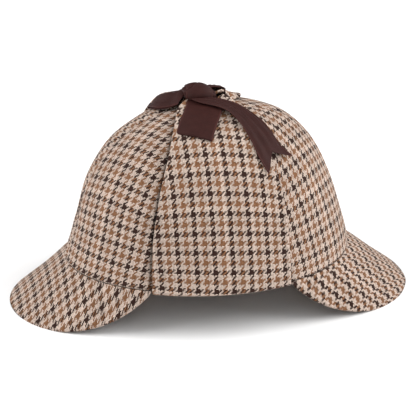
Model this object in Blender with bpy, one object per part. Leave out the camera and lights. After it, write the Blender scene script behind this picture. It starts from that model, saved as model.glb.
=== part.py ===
"""Deerstalker hat in checked tweed, lying on a table, in metres with +Z up.

The front peak points to -Y and the back peak to +Y. Both ear flaps are folded
up over the crown and their ribbons are tied in a bow on top. The origin is at
the centre of the hat's box, on the table that both peaks rest on.

Every piece is placed on one dome. A direction from the middle of the rim gives
a point of the dome, and a piece lies a stated distance outside that point.
"""

import bmesh
import bpy
import numpy as np

# Crown: outer sizes at the rim, height above the rim, and the cloth's wall
HALF_LENGTH = 0.105
HALF_WIDTH = 0.085
FRONT_TAPER = 0.035
CROWN_HEIGHT = 0.1095
APEX_FORWARD = 0.0027
CROWN_WALL = 0.002
RIM_ARCH = -0.0015
SEAM_DEPTH = 0.0007
SEAM_HALF_ANGLE = 1.6

# How full the dome is against an ellipse of its own width and height, by the
# angle above the rim: one column each for its front, its sides and its back
FULLNESS = (
    # angle, front, side, back
    (0.0, 1.028, 1.000, 1.000),
    (6.0, 0.996, 0.990, 0.989),
    (15.0, 0.971, 0.976, 0.978),
    (30.0, 0.992, 0.996, 0.998),
    (45.0, 1.011, 1.032, 1.049),
    (60.0, 1.010, 1.038, 1.064),
    (75.0, 1.019, 1.015, 1.012),
    (90.0, 1.000, 1.000, 1.000),
)

# Peaks: width at the middle, half the angle of rim that each one spans, slope
# below level at the middle, how much steeper it is at the corners, and how
# fast the width falls off towards them
PEAK_THICKNESS = 0.0026
FRONT_PEAK = {"width": 0.0550, "span": 59.4, "slope": 38.7, "curl": 45.3, "taper": 0.79}
BACK_PEAK = {"width": 0.0605, "span": 64.8, "slope": 37.6, "curl": 53.5, "taper": 0.85}
PRESSED_FLAT = 0.0008

# Ear flaps: how far over the dome they reach, cloth, and the lift of their tips
FLAP_REACH = 87.0
FLAP_THICKNESS = 0.0022
FLAP_LIFT = 0.0025
FLAP_FOLD_RADIUS = 0.0003

# An ear flap from the fold at the rim to the tip: how far along it, its front
# and back edges as shares of the angles of its two corners, and the lift of
# its inside off the crown as a share of the tip's
FLAP_SECTIONS = (
    # along, front edge, back edge, lift
    (0.00, 1.00, 1.00, 0.08),
    (0.12, 0.99, 1.02, 0.13),
    (0.25, 0.95, 1.02, 0.18),
    (0.45, 0.79, 0.92, 0.22),
    (0.62, 0.61, 0.76, 0.28),
    (0.80, 0.46, 0.68, 0.50),
    (0.93, 0.36, 0.60, 0.88),
    (1.00, 0.24, 0.44, 1.00),
)

# Ribbon bow: ribbon, knot, and the swallow-tail cut at the free ends. A free end
# is gathered at the knot to a share of its width, and is flat by a share of its run
RIBBON_WIDTH = 0.025
RIBBON_THICKNESS = 0.001
RIBBON_NOTCH = 0.010
RIBBON_GATHER = 0.22
KNOT_LENGTH = 0.022
KNOT_DEPTH = 0.019
KNOT_HEIGHT = 0.0095
KNOT_FORWARD = 0.0042
KNOT_SLOPE = 0.40
LOOP_OPENING = 0.0012
CLEARANCE = 0.0003

# Past the edge of an ear flap the ribbon sinks to the crown between these two
# distances from it, in degrees over the dome
DRAPE_START = 1.2
DRAPE_END = 7.0

# The runs of ribbon, in degrees over the dome from where each one leaves the
# knot: down its own side of the hat, and towards the back; then its lift above
# what it lies on as a share of the knot's height
NEAR_LOOP = (
    # down, back, lift
    (1.2, 0.8, 0.00),
    (5.0, 0.3, 0.03),
    (10.0, -1.2, 0.06),
    (16.0, -3.5, 0.04),
    (22.5, -5.9, 0.00),
)
NEAR_TAIL = (
    (9.5, -7.2, 0.42),
    (10.3, -3.5, 0.42),
    (12.2, 0.6, 0.41),
    (14.8, 4.4, 0.36),
    (19.0, 7.8, 0.24),
    (25.0, 11.2, 0.10),
    (30.8, 13.8, 0.05),
    (36.6, 16.3, 0.02),
    (40.5, 18.8, 0.00),
)
FAR_LOOP = (
    (1.8, -1.2, 0.30),
    (4.5, -4.5, 0.15),
    (9.5, -6.3, 0.03),
    (15.0, -6.9, 0.00),
    (18.5, -7.2, 0.00),
)
FAR_TAIL = (
    (1.5, 5.0, 0.45),
    (4.0, 7.5, 0.38),
    (8.0, 9.0, 0.22),
    (15.0, 9.4, 0.06),
    (23.5, 10.0, 0.00),
    (32.0, 11.8, 0.00),
)

# Fineness of the meshes
PANEL_STEPS = 7
DOME_ANGLES = (0.0, 3.0, 8.0, 15.0, 23.0, 31.0, 39.0, 47.0, 55.0, 63.0, 71.0, 79.0, 85.5, 90.0)
PEAK_STEPS = 32
PEAK_ROWS = (0.0, 0.12, 0.34, 0.56, 0.78, 1.0)
FLAP_STEPS = 12
FLAP_ROWS = 13
FOLD_STEPS = 3
RIBBON_STEPS = 5
RIBBON_ROW_LENGTH = 0.005
KNOT_RINGS = 9
KNOT_SIDES = 20

UP = np.array([0.0, 0.0, 1.0])

# The rim's height at the sides and its tilt towards the back, which settle() finds
rim = {"height": 0.0, "tilt": 0.0}


def smooth(at, places, values):
    """A smooth curve through table rows, with the slopes of their neighbours."""
    slopes = np.gradient(values, places)
    row = np.clip(np.searchsorted(places, at) - 1, 0, len(places) - 2)
    span = places[row + 1] - places[row]
    share = (at - places[row]) / span
    rising = share * share * (3 - 2 * share)
    start = values[row] * (1 - rising) + span * slopes[row] * share * (1 - share) ** 2
    return start + values[row + 1] * rising + span * slopes[row + 1] * share * share * (share - 1)


def dome_fullness(elevation, front_share):
    """The dome's fullness at an angle above the rim; front_share is 1 at the front, -1 at the back."""
    rows = np.array(FULLNESS)
    mirrored = rows[-2].copy()
    mirrored[0] = 2 * rows[-1][0] - rows[-2][0]
    rows = np.vstack([rows, mirrored])
    front, side, back = (smooth(elevation, rows[:, 0], rows[:, column]) for column in (1, 2, 3))
    full = side + (front - side) * np.maximum(front_share, 0) ** 2
    return full + (back - side) * np.maximum(-front_share, 0) ** 2


def dome(direction):
    """The point of the crown's outside in a direction from the middle of the rim."""
    direction = direction / np.linalg.norm(direction, axis=-1, keepdims=True)
    level = np.maximum(np.hypot(direction[..., 0], direction[..., 1]), 1e-9)
    elevation = np.degrees(np.arctan2(direction[..., 2], level))
    x, y, z = np.moveaxis(direction * dome_fullness(elevation, -direction[..., 1] / level)[..., None], -1, 0)
    rim_z = rim["height"] + rim["tilt"] * y + RIM_ARCH * y * y
    return np.stack([
        HALF_WIDTH * x * (1 + FRONT_TAPER * y),
        HALF_LENGTH * y - APEX_FORWARD * z,
        rim_z * (1 - z) + (rim["height"] + CROWN_HEIGHT) * z,
    ], axis=-1)


def turned(around, elevation):
    """Directions by the angle around from the front towards +X, and above the rim."""
    around, elevation = np.broadcast_arrays(np.radians(around), np.radians(elevation))
    level = np.cos(elevation)
    return np.stack([level * np.sin(around), -level * np.cos(around), np.sin(elevation)], axis=-1)


def laid(over, along):
    """Directions by the angle over the top from the +X side, and along towards the back."""
    over, along = np.broadcast_arrays(np.radians(over), np.radians(along))
    across = np.cos(along)
    return np.stack([across * np.cos(over), np.sin(along), across * np.sin(over)], axis=-1)


def outward(kind, first, second):
    """The unit normal of the dome, for directions given in one of the two ways above."""
    step = 0.05
    one = dome(kind(first + step, second)) - dome(kind(first - step, second))
    two = dome(kind(first, second + step)) - dome(kind(first, second - step))
    normal = np.cross(one, two)
    normal /= np.linalg.norm(normal, axis=-1, keepdims=True)
    inside = dome(kind(first, second)) - np.array([0.0, 0.0, rim["height"]])
    return normal * np.sign(np.sum(normal * inside, axis=-1, keepdims=True))


def over_crown(over, along, lift):
    """A point that lies a distance outside the dome."""
    return dome(laid(over, along)) + outward(laid, over, along) * np.asarray(lift)[..., None]


def rim_outward(around):
    """The level unit normal of the rim at angles around it."""
    step = 0.05
    run = dome(turned(around + step, 0.0)) - dome(turned(around - step, 0.0))
    normal = np.stack([-run[..., 1], run[..., 0], np.zeros_like(run[..., 0])], axis=-1)
    normal /= np.linalg.norm(normal, axis=-1, keepdims=True)
    return normal * np.sign(np.sum(normal * dome(turned(around, 0.0)), axis=-1, keepdims=True))


def material(name, colour, roughness):
    """A plain cloth finish."""
    made = bpy.data.materials.new(name)
    made.use_nodes = True
    shader = made.node_tree.nodes["Principled BSDF"]
    shader.inputs["Base Color"].default_value = (*colour, 1.0)
    shader.inputs["Roughness"].default_value = roughness
    shader.inputs["Metallic"].default_value = 0.0
    return made


def closed_sheet(name, finish, outer, inner, ring=False):
    """A closed solid between two skins of points, each with rows and columns; a ring joins its ends."""
    rows, columns = outer.shape[:2]
    last = columns if ring else columns - 1
    skin = rows * columns
    corner = lambda row, column: row * columns + column % columns
    faces = []
    for row in range(rows - 1):
        for column in range(last):
            quad = [corner(row, column), corner(row, column + 1)]
            quad += [corner(row + 1, column + 1), corner(row + 1, column)]
            faces.append(quad)
            faces.append([index + skin for index in reversed(quad)])
    for row in (0, rows - 1):
        for column in range(last):
            one, two = corner(row, column), corner(row, column + 1)
            faces.append([one, two, two + skin, one + skin])
    if not ring:
        for column in (0, columns - 1):
            for row in range(rows - 1):
                one, two = corner(row, column), corner(row + 1, column)
                faces.append([one, two, two + skin, one + skin])
    mesh = bpy.data.meshes.new(name)
    points = np.concatenate([outer.reshape(-1, 3), inner.reshape(-1, 3)])
    mesh.from_pydata(points.tolist(), [], faces)
    return finished(name, finish, mesh)


def finished(name, finish, mesh):
    """Weld a mesh's doubles, turn its faces outwards, and place it as a named object."""
    work = bmesh.new()
    work.from_mesh(mesh)
    bmesh.ops.remove_doubles(work, verts=work.verts, dist=1e-6)
    bmesh.ops.dissolve_degenerate(work, edges=work.edges, dist=1e-6)
    bmesh.ops.recalc_face_normals(work, faces=work.faces)
    work.to_mesh(mesh)
    work.free()
    mesh.shade_smooth()
    mesh.set_sharp_from_angle(angle=np.radians(40.0))
    mesh.materials.append(finish)
    piece = bpy.data.objects.new(name, mesh)
    bpy.context.collection.objects.link(piece)
    return piece


def seam_angles():
    """The six seams of the crown: two at the middle, four at the corners of the peaks."""
    front, back = FRONT_PEAK["span"], 180.0 - BACK_PEAK["span"]
    return np.array([0.0, front, back, 180.0, 360.0 - back, 360.0 - front])


def crown(finish):
    """The dome of six sewn panels, open below, with a shallow crease along each seam."""
    seams = seam_angles()
    around = []
    for start, end in zip(seams, np.append(seams[1:], 360.0)):
        around += [start - SEAM_HALF_ANGLE, start]
        around += list(np.linspace(start + SEAM_HALF_ANGLE, end - SEAM_HALF_ANGLE, PANEL_STEPS + 2)[:-1])
    around = np.array(around)[None, :]
    elevation = np.array(DOME_ANGLES)[:, None]
    near_pole = np.minimum(elevation, 89.0)
    normal = outward(turned, around + 0 * elevation, near_pole + 0 * around)
    normal[-1] = UP
    normal[0] = rim_outward(around[0])
    crease = np.isin(around, seams) * SEAM_DEPTH * (elevation < DOME_ANGLES[-1])
    outer = dome(turned(around, elevation)) - normal * crease[..., None]
    inner = outer - normal * CROWN_WALL
    return closed_sheet("crown", finish, outer, inner, ring=True)


def peak_skins(peak, facing):
    """The upper and under skins of a peak; facing is the angle around of its middle."""
    corner_gap = np.degrees(CLEARANCE / HALF_WIDTH)
    share = np.linspace(-1.0, 1.0, PEAK_STEPS + 1)[None, :]
    out = np.array((0.0,) + PEAK_ROWS)[:, None]
    around = facing + share * (peak["span"] - corner_gap) + 0 * out
    slope = np.radians(peak["slope"] + peak["curl"] * share ** 2) + 0 * out
    width = peak["width"] * np.cos(share * np.pi / 2 * 0.999) ** peak["taper"] + 0 * out
    normal = rim_outward(around)
    seam = dome(turned(around, 0.0)) - UP * CLEARANCE
    down_slope = normal * np.cos(slope)[..., None] - UP * np.sin(slope)[..., None]
    below = -normal * np.sin(slope)[..., None] - UP * np.cos(slope)[..., None]
    upper = seam + down_slope * (width * out)[..., None]
    # The edge is cut level, so the under skin stops short of the upper one
    short = np.minimum(PEAK_THICKNESS / np.tan(slope), 0.7 * width)
    under = seam + down_slope * ((width - short) * out)[..., None] + below * PEAK_THICKNESS
    # The first two rows are the flat seam allowance under the crown's wall
    tucked = np.minimum(PEAK_THICKNESS * np.tan(slope[1] / 2), 0.7 * CROWN_WALL)
    upper[0] = seam[0] - normal[0] * CROWN_WALL
    under[0] = upper[0] - UP * PEAK_THICKNESS
    under[1] = seam[1] - normal[1] * tucked[:, None] - UP * PEAK_THICKNESS
    return upper, under


def settle():
    """Set the rim's height and tilt so that both peaks rest on the table."""
    for _ in range(20):
        front, back = (
            peak_skins(peak, facing)[0][..., 2].min() + PRESSED_FLAT
            for peak, facing in ((FRONT_PEAK, 0.0), (BACK_PEAK, 180.0))
        )
        rim["height"] -= (front + back) / 2
        rim["tilt"] += (front - back) / 2


def peak(name, finish, sizes, facing):
    """A stiffened peak, pressed flat where it rests."""
    upper, under = peak_skins(sizes, facing)
    upper[..., 2] = np.maximum(upper[..., 2], 0.0)
    under[..., 2] = np.maximum(under[..., 2], 0.0)
    return closed_sheet(name, finish, upper, under)


def flap_lift(along):
    """How far the inside of an ear flap lies off the crown, by the share of its reach."""
    rows = np.array(FLAP_SECTIONS)
    return FLAP_LIFT * smooth(np.clip(along, 0.0, 1.0), rows[:, 0], rows[:, 3])


def flap_top(over):
    """How far the outside of an ear flap lies off the crown, by the angle over the dome."""
    return flap_lift(np.asarray(over) / FLAP_REACH) + FLAP_THICKNESS


def flap_corners():
    """How far towards the front and the back an ear flap reaches at the rim, in degrees along."""
    corner_gap = np.degrees(CLEARANCE / HALF_WIDTH)
    return 90.0 - FRONT_PEAK["span"] - corner_gap, 90.0 - BACK_PEAK["span"] - corner_gap


def flap_edges(along):
    """The front and back edges of an ear flap, in degrees along, by the share of its reach."""
    rows = np.array(FLAP_SECTIONS)
    along = np.clip(along, 0.0, 1.0)
    front_corner, back_corner = flap_corners()
    front = -front_corner * smooth(along, rows[:, 0], rows[:, 1])
    return front, back_corner * smooth(along, rows[:, 0], rows[:, 2])


def under_ribbon(over, along):
    """How far off the crown the surface under a ribbon lies: the ear flap's outside, or the crown's."""
    front, back = flap_edges(np.asarray(over) / FLAP_REACH)
    beyond = np.maximum(front - along, along - back)
    sunk = np.clip((beyond - DRAPE_START) / (DRAPE_END - DRAPE_START), 0.0, 1.0)
    return flap_top(over) * (1 - sunk * sunk * (3 - 2 * sunk))


def ear_flap(name, finish, side):
    """An ear flap folded up: sewn under the crown's rim, round the fold and up to its tip."""
    front_corner, back_corner = flap_corners()
    share = np.linspace(0.0, 1.0, FLAP_STEPS + 1)[None, :]
    along = np.linspace(0.0, 1.0, FLAP_ROWS + 1)[1:, None]
    front, back = flap_edges(along)
    over = along * FLAP_REACH + 0 * share
    across = front + (back - front) * share
    lift = flap_lift(along) + 0 * share
    inner = over_crown(over, across, lift)
    outer = over_crown(over, across, lift + FLAP_THICKNESS)
    # The fold turns a quarter round the edge of the rim, from the seam allowance
    around = 90.0 + (-front_corner + (front_corner + back_corner) * share[0])
    edge = dome(turned(around, 0.0))
    normal = rim_outward(around)
    pivot = flap_lift(0.0) - FLAP_FOLD_RADIUS
    inner_fold = [edge - normal * CROWN_WALL - UP * FLAP_FOLD_RADIUS]
    outer_fold = [inner_fold[0] - UP * FLAP_THICKNESS]
    for turn in np.linspace(-np.pi / 2, 0.0, FOLD_STEPS):
        spoke = normal * np.cos(turn) + UP * np.sin(turn)
        inner_fold.append(edge + normal * pivot + spoke * FLAP_FOLD_RADIUS)
        outer_fold.append(edge + normal * pivot + spoke * (FLAP_FOLD_RADIUS + FLAP_THICKNESS))
    outer = np.concatenate([np.array(outer_fold), outer])
    inner = np.concatenate([np.array(inner_fold), inner])
    outer[..., 0] *= side
    inner[..., 0] *= side
    return closed_sheet(name, finish, outer, inner)


def knot_faces():
    """Where runs of ribbon leave the knot, as over and along: its side, its front end and its back end."""
    half_depth = np.degrees(KNOT_DEPTH / 2 / HALF_WIDTH)
    half_length = np.degrees(KNOT_LENGTH / 2 / HALF_LENGTH)
    middle = -np.degrees(KNOT_FORWARD / HALF_LENGTH)
    return (90.0 - half_depth, middle), (90.0, middle - half_length), (90.0, middle + half_length)


def route(rows, start):
    """A run of ribbon: its length on the dome, and smooth curves of over, along and lift by length."""
    rows = np.array(rows) * (-1, 1, 1) + (*start, 0.0)
    knots = dome(laid(rows[:, 0], rows[:, 1]))
    lengths = np.append(0.0, np.cumsum(np.linalg.norm(np.diff(knots, axis=0), axis=-1)))
    at = lambda length, column: smooth(length, lengths, rows[:, column])
    return lengths[-1], at


def ribbon_point(at, length, across, height):
    """A point of a ribbon by length along it, distance across it, and height over what it lies on."""
    step = 0.05
    over, along = at(length, 0), at(length, 1)
    ahead = dome(laid(at(length + 1e-4, 0), at(length + 1e-4, 1)))
    behind = dome(laid(at(length - 1e-4, 0), at(length - 1e-4, 1)))
    side = np.cross(outward(laid, over, along), ahead - behind)
    side /= np.linalg.norm(side, axis=-1, keepdims=True)
    # The step across is turned into angles with the dome's own two directions there
    per_over = (dome(laid(over + step, along)) - dome(laid(over - step, along))) / (2 * step)
    per_along = (dome(laid(over, along + step)) - dome(laid(over, along - step))) / (2 * step)
    dot = lambda one, two: np.sum(one * two, axis=-1)
    over_square, along_square = dot(per_over, per_over), dot(per_along, per_along)
    shared = dot(per_over, per_along)
    area = over_square * along_square - shared ** 2
    turn_over = (dot(side, per_over) * along_square - dot(side, per_along) * shared) / area
    turn_along = (dot(side, per_along) * over_square - dot(side, per_over) * shared) / area
    over = over + across * turn_over
    along = along + across * turn_along
    lift = under_ribbon(over, along) + CLEARANCE + KNOT_HEIGHT * np.maximum(at(length, 2), 0.0) + height
    return over_crown(over, along, lift)


def tail(name, finish, rows, start, side):
    """A free end of the ribbon, lying over the ear flap, with a swallow-tail cut."""
    total, at = route(rows, start)
    count = int(np.ceil(total / RIBBON_ROW_LENGTH))
    across = np.linspace(-1.0, 1.0, 2 * RIBBON_STEPS - 1)[None, :]
    share = np.linspace(0.0, 1.0, count + 1)[:, None]
    length = share * (total - RIBBON_NOTCH * (1 - np.abs(across)))
    flat = length / total
    half_width = RIBBON_WIDTH / 2 * (RIBBON_GATHER + (1 - RIBBON_GATHER) * flat)
    skins = [
        ribbon_point(at, length, across * half_width, height + 0 * length)
        for height in (RIBBON_THICKNESS, 0.0)
    ]
    for skin in skins:
        skin[..., 0] *= side
    return closed_sheet(name, finish, *skins)


def loop(name, finish, rows, start, side):
    """A flattened loop of the bow: out from the knot, round its fold, and back underneath."""
    total, at = route(rows, start)
    turn_radius = (LOOP_OPENING + RIBBON_THICKNESS) / 2
    straight = np.linspace(0.0, total - turn_radius, int(np.ceil(total / RIBBON_ROW_LENGTH)))
    bend = np.linspace(np.pi / 2, -np.pi / 2, 7)[1:-1]
    middle = turn_radius + RIBBON_THICKNESS / 2
    skins = []
    for half in (RIBBON_THICKNESS / 2, -RIBBON_THICKNESS / 2):
        radius = turn_radius + half
        lengths = np.concatenate([straight, straight[-1] + radius * np.cos(bend), straight[::-1]])
        heights = np.concatenate([
            np.full(straight.shape, middle + radius),
            middle + radius * np.sin(bend),
            np.full(straight.shape, middle - radius),
        ])
        across = np.linspace(-RIBBON_WIDTH / 2, RIBBON_WIDTH / 2, RIBBON_STEPS)[None, :]
        lengths, across = np.broadcast_arrays(lengths[:, None], across)
        skin = ribbon_point(at, lengths, across, heights[:, None])
        skin[..., 0] *= side
        skins.append(skin)
    return closed_sheet(name, finish, *skins)


def knot(finish):
    """The knot: a rounded pad of ribbon over the tips of both ear flaps."""
    around = np.linspace(0.0, 2 * np.pi, KNOT_SIDES, endpoint=False)[None, :]
    place = np.linspace(-1.0, 1.0, KNOT_RINGS)[:, None]
    full = 1 - 0.35 * np.abs(place) ** 3
    soften = lambda value: np.sign(value) * np.abs(value) ** 0.6
    side, front, back = knot_faces()
    over = 90.0 + soften(np.cos(around)) * full * (90.0 - side[0])
    along = side[1] + place * (back[1] - front[1]) / 2 + 0 * around
    rise = (1 + soften(np.sin(around)) * full) / 2 * (1 - KNOT_SLOPE * np.maximum(place, 0.0) ** 1.5)
    base = flap_top(FLAP_REACH) + CLEARANCE
    rings = over_crown(over, along, base + KNOT_HEIGHT * rise)
    centres = np.repeat(rings.mean(axis=1, keepdims=True), KNOT_SIDES, axis=1)
    rings = np.concatenate([centres[:1], rings, centres[-1:]])
    rows, columns = rings.shape[:2]
    faces = []
    for row in range(rows - 1):
        for column in range(columns):
            after = (column + 1) % columns
            faces.append([row * columns + column, row * columns + after,
                          (row + 1) * columns + after, (row + 1) * columns + column])
    mesh = bpy.data.meshes.new("ribbon_knot")
    mesh.from_pydata(rings.reshape(-1, 3).tolist(), [], faces)
    return finished("ribbon_knot", finish, mesh)


def build():
    """Make every piece and set the hat's box over the origin."""
    for old in list(bpy.data.objects):
        bpy.data.objects.remove(old, do_unlink=True)
    settle()
    tweed = (0.36, 0.26, 0.19)
    ribbon = (0.060, 0.026, 0.022)
    crown(material("crown_tweed", tweed, 0.95))
    foremost = peak("peak_front", material("peak_front_tweed", tweed, 0.95), FRONT_PEAK, 0.0)
    rearmost = peak("peak_back", material("peak_back_tweed", tweed, 0.95), BACK_PEAK, 180.0)
    ear_flap("ear_flap_left", material("ear_flap_left_tweed", tweed, 0.95), 1)
    ear_flap("ear_flap_right", material("ear_flap_right_tweed", tweed, 0.95), -1)
    knot(material("ribbon_knot_weave", ribbon, 0.7))
    side, front, back = knot_faces()
    loop("ribbon_loop_left", material("ribbon_loop_left_weave", ribbon, 0.7), NEAR_LOOP, side, 1)
    loop("ribbon_loop_right", material("ribbon_loop_right_weave", ribbon, 0.7), FAR_LOOP, front, -1)
    tail("ribbon_tail_left", material("ribbon_tail_left_weave", ribbon, 0.7), NEAR_TAIL, back, 1)
    tail("ribbon_tail_right", material("ribbon_tail_right_weave", ribbon, 0.7), FAR_TAIL, side, -1)
    reach_front = min(vertex.co.y for vertex in foremost.data.vertices)
    reach_back = max(vertex.co.y for vertex in rearmost.data.vertices)
    for piece in bpy.data.objects:
        piece.location.y = -(reach_front + reach_back) / 2


build()
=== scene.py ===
import bmesh
import bpy
import numpy as np
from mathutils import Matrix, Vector


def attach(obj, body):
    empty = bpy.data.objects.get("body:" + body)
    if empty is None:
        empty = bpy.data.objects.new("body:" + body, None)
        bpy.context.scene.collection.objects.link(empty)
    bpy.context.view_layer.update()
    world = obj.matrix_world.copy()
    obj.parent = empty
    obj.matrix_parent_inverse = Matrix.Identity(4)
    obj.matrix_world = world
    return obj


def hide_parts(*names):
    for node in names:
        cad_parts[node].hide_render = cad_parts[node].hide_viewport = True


# Looks of a deerstalker hat in checked tweed. Every cloth piece is laid on the
# same dome as in the part's source, so the named sizes below are the same ones.
# Lengths are in metres and angles in degrees unless a line says otherwise.

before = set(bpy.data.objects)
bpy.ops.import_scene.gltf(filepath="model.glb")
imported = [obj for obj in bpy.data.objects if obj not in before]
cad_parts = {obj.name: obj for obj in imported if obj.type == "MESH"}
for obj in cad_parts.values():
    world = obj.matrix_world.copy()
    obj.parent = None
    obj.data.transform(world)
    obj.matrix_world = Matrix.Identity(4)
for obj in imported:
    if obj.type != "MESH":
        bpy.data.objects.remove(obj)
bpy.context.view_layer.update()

# Crown
HALF_LENGTH = 0.105
HALF_WIDTH = 0.085
FRONT_TAPER = 0.035
CROWN_HEIGHT = 0.1095
APEX_FORWARD = 0.0027
CROWN_WALL = 0.002
RIM_ARCH = -0.0015
FULLNESS = (
    # angle, front, side, back
    (0.0, 1.028, 1.000, 1.000),
    (6.0, 0.996, 0.990, 0.989),
    (15.0, 0.971, 0.976, 0.978),
    (30.0, 0.992, 0.996, 0.998),
    (45.0, 1.011, 1.032, 1.049),
    (60.0, 1.010, 1.038, 1.064),
    (75.0, 1.019, 1.015, 1.012),
    (90.0, 1.000, 1.000, 1.000),
)
SEAM_DEPTH = 0.0006
SEAM_WIDTH = 0.0024
DITCH_HEIGHT = 0.0055
DITCH_DEPTH = 0.0004
DITCH_WIDTH = 0.0011
CROWN_WAVES = 0.0010
CROWN_CALM = 0.012
PANEL_STEPS = (72, 64)

# Peaks
PEAK_THICKNESS = 0.0026
FRONT_PEAK = {"width": 0.0550, "span": 59.4, "slope": 38.7, "curl": 45.3, "taper": 0.79}
BACK_PEAK = {"width": 0.0605, "span": 64.8, "slope": 37.6, "curl": 53.5, "taper": 0.85}
PRESSED_FLAT = 0.0008
PEAK_WAVES = 0.0009
PEAK_CALM = 0.015
PEAK_STEPS = (120, 40)
SETTLE_STEPS = (64, 4)
SETTLE_ROUNDS = 20

# Ear flaps
FLAP_REACH = 87.0
FLAP_THICKNESS = 0.0022
FLAP_LIFT = 0.0025
FLAP_FOLD_RADIUS = 0.0003
FLAP_SECTIONS = (
    # along, front edge, back edge, lift
    (0.00, 1.00, 1.00, 0.08),
    (0.12, 0.99, 1.02, 0.13),
    (0.25, 0.95, 1.02, 0.18),
    (0.45, 0.79, 0.92, 0.22),
    (0.62, 0.61, 0.76, 0.28),
    (0.80, 0.46, 0.68, 0.50),
    (0.93, 0.36, 0.60, 0.88),
    (1.00, 0.24, 0.44, 1.00),
)
FLAP_STEPS = 64
FLAP_WAVES = 0.0009
FLAP_SKEW = 0.07
# The front edge stands off the crown, and the back edge by a share of that
EDGE_LIFT = 0.0036
BACK_EDGE_SHARE = 0.12
# The tie pushes up the tip: from a share of the reach on, about a place across it
TIP_LIFT = 0.0064
TIP_START = 0.70
TIP_PLACE = 0.80
TIP_WIDTH = 0.20
TIP_SINK = 0.0018
# The painted shade on the crown in front of the fold, by how much, how far off and how wide
FOLD_SHADE = 0.75
FOLD_GAP = 0.0024
FOLD_WIDTH = 0.0014
FOLD_FADE = 12.0

# Ribbon bow
RIBBON_WIDTH = 0.025
RIBBON_THICKNESS = 0.0006
RIBBON_NOTCH = 0.010
RIBBON_GATHER = 0.22
TAIL_STEPS = (40, 72)
TAIL_POINT = 0.16
TAIL_STAND = 0.0006
TAIL_GATHERS = 0.0005
TAIL_SWAY = 0.0005
TAIL_CURL_START = 0.72
TUCK = 0.0070
TUCK_SHARE = 1 / 9
KNOT_LENGTH = 0.022
KNOT_DEPTH = 0.019
KNOT_HEIGHT = 0.0095
KNOT_FORWARD = 0.0042
KNOT_SLOPE = 0.40
KNOT_GATHERS = 0.0006
KNOT_STEPS = (97, 61)
# The band round the knot: its lip and how far that flares off the knot change from the
# middle to the front corner and to the heel. The lip and the flare's start are angles.
BAND_STEPS = (28, 110)
BAND_SPREAD = 0.84
BAND_ASLANT = 0.10
BAND_RISE = 0.0012
BAND_ROUND = 0.0010
BAND_CREASE = 0.00144
BAND_END = 198.0
LIP = {"middle": 14.0, "corner": 11.0, "heel": 14.0}
FLARE = {"middle": 0.0020, "corner": 0.0022, "heel": 0.0010}
FLARE_START = 50.0
FLARE_REACH = 44.0
LOOP_OPENING = 0.0018
LOOP_PINCH = 0.35
LOOP_BOW = 0.0006
LOOP_STEPS = (32, 44)
LOOP_BEND_STEPS = 15
CLEARANCE = 0.0003
DRAPE_START = 1.2
DRAPE_END = 7.0
NEAR_LOOP = (
    # down, back, lift
    (1.2, 0.8, 0.00),
    (5.0, 0.3, 0.03),
    (10.0, -1.2, 0.06),
    (16.0, -3.5, 0.04),
    (22.5, -5.9, 0.00),
)
NEAR_TAIL = (
    (9.5, -7.2, 0.42),
    (10.3, -3.5, 0.42),
    (12.2, 0.6, 0.41),
    (14.8, 4.4, 0.36),
    (19.0, 7.8, 0.24),
    (25.0, 11.2, 0.10),
    (30.8, 13.8, 0.05),
    (36.6, 16.3, 0.02),
    (40.5, 18.8, 0.00),
)
FAR_LOOP = (
    (1.8, -1.2, 0.26),
    (4.5, -3.9, 0.10),
    (9.5, -5.2, 0.02),
    (15.0, -5.6, 0.00),
    (18.5, -5.8, 0.00),
)
FAR_TAIL = (
    (1.5, 5.0, 0.45),
    (4.0, 7.5, 0.38),
    (8.0, 9.0, 0.22),
    (15.0, 9.4, 0.06),
    (23.5, 10.0, 0.00),
    (32.0, 11.8, 0.00),
)

# Cloth: one thread, how many threads a stripe has, and the wools
WARP_THREAD = 0.00080
WEFT_THREAD = 0.00088
STRIPE = 4
WEFT_COVER = 0.90
CREAM = (0.490, 0.388, 0.325)
BROWN = (0.0315, 0.0140, 0.0101)
TAN = (0.198, 0.0935, 0.0472)
# Wool: how far its threads wander, the sizes of its unevenness, and how strong each is
WOBBLE = 0.42
WOBBLE_THREADS = 3.0
DRIFT_SCALE = 520.0
HAIR_SCALE = 1600.0
PATCH_SCALE = 60.0
UNEVEN = {"thread": 0.44, "hair": 1.00, "patch": 0.24}
# Painted shade: how light the cloth is painted in the hollows between threads, and how much lighter on
# their tops
PAINTED_HOLLOW_BRIGHT = 0.70
PAINTED_TOP_LIGHT = 0.34

# Ribbon: its ribs and threads, with painted shade between the ribs, the strip along each edge, lighter
# partly as its own tone and partly as a painted highlight, and its worn patches
RIBBON_BROWN = (0.0325, 0.0098, 0.0082)
RIB = 0.0009
FINE_THREAD = 0.0005
# Painted shade and light on the ribs: their crests lighter, the hollows between them darker
RIB_PAINTED_SHADE = 0.10
SELVEDGE = 0.0011
# The selvedge is lighter, partly as its own tone and partly as a painted highlight along the edges
SELVEDGE_TONE_AND_HIGHLIGHT = 0.45
WEAR = 0.25
WEAR_BRIGHT = 2.4
WEAR_SCALE = 140.0

# Both finishes
BUMP_STRENGTH = 0.7
GLOSS = 0.12
SHEEN_SPREAD = 0.5

# Camera: fitted to the photograph, which is 416 pixels square
VIEW_AZIMUTH = 79.403
VIEW_ELEVATION = 23.618
VIEW_DISTANCE = 1.2008
VIEW_HEIGHT = 0.060
VIEW_LENS = 139.5
VIEW_SHIFT = (-0.0013, 0.0133)

# Floor and light
FLOOR_REACH = 6.0
FLOOR_TONE = 0.88
SURROUND = 0.23
LIGHTS = (
    # name, azimuth, elevation, distance, size, power
    ("back_light", 165.0, 38.0, 1.9, 2.0, 51.5),
    ("front_light", -5.0, 38.0, 1.9, 2.0, 43.0),
    ("near_light", 80.0, 30.0, 1.8, 1.6, 8.5),
)

UP = np.array([0.0, 0.0, 1.0])

# The rim's height and tilt and the hat's middle, all three set by settle()
rim = {"height": 0.0, "tilt": 0.0, "middle": 0.0}


# The dome and the ways to point at it

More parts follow.
